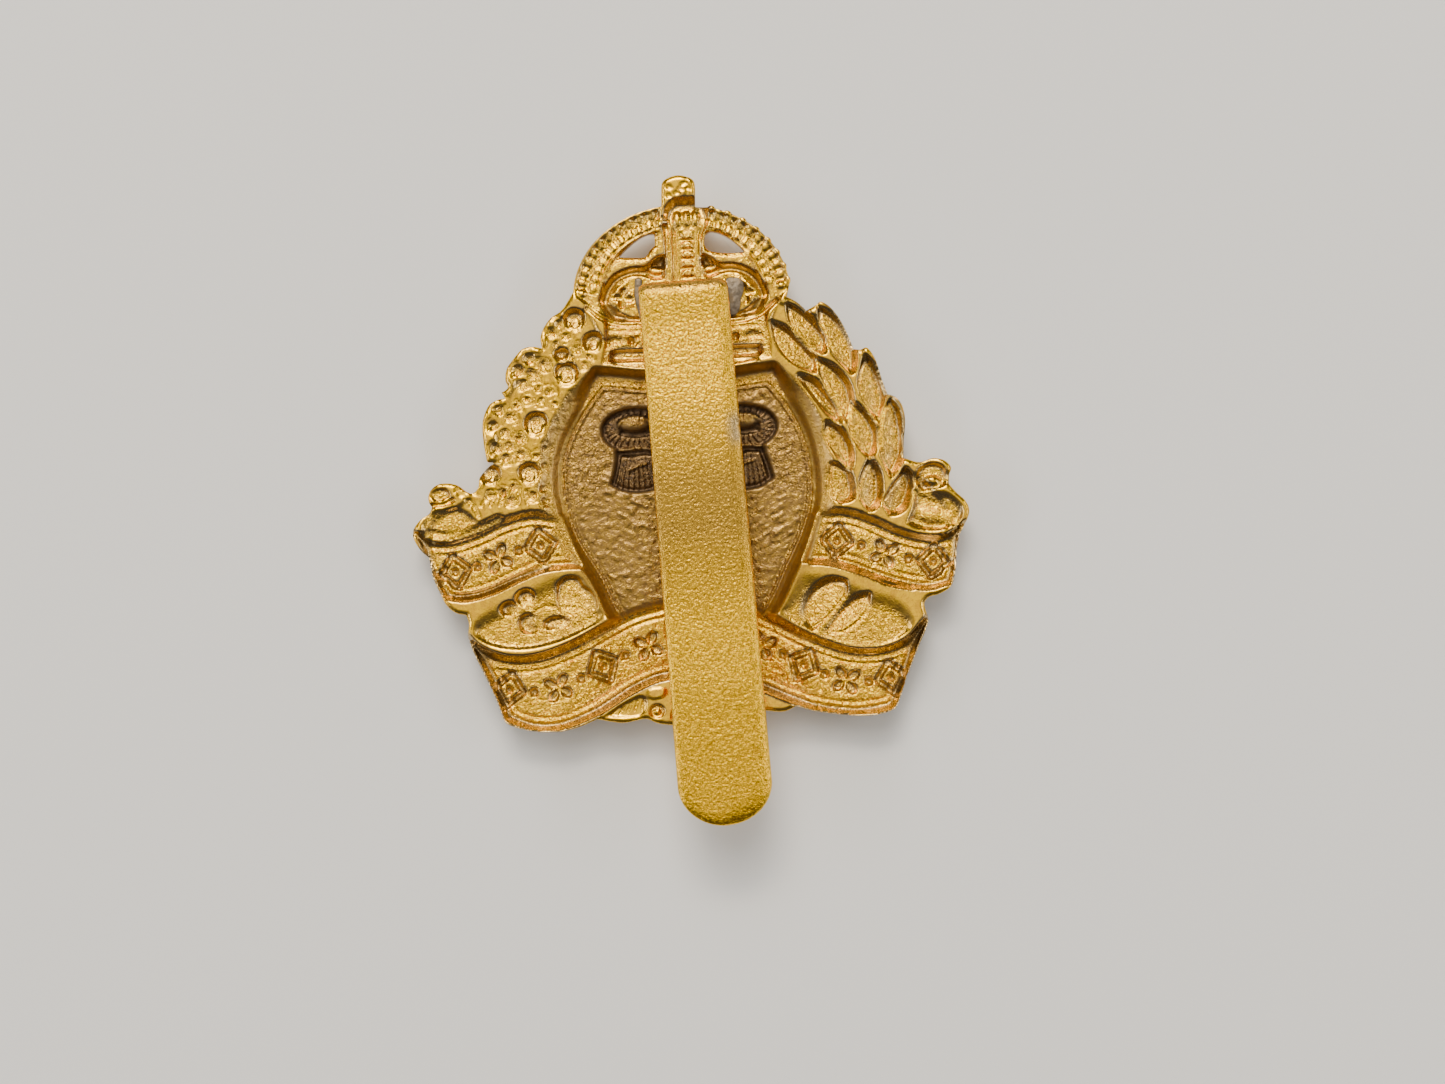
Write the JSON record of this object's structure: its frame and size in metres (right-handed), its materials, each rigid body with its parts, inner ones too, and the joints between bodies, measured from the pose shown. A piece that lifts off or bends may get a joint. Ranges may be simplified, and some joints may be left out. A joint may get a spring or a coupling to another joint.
{
  "type": "cap badge",
  "caption": "Die-struck brass cap badge with a pierced crown, oak and laurel wreath, shield and scrolls, and a long slider soldered to the back of the crown.",
  "frame": {"origin": "middle of the underside of the part's box, on the surface that the badge lies on face down", "axes": "+Z out of the badge's back, +Y towards the top of the crown, +X towards the laurel side"},
  "size_m": [0.0444, 0.0516, 0.0071],
  "materials": {
    "gilding_metal": "struck gilding metal, bright on the high places and toned brown in the hollows",
    "slider_brass": "satin rolled brass strip, burnished along its edges",
    "solder": "dull grey soft solder"
  },
  "bodies": {
    "root": {"badge_plate": "gilding_metal", "slider": "slider_brass", "solder_joint": "solder"}
  },
  "joints": []
}
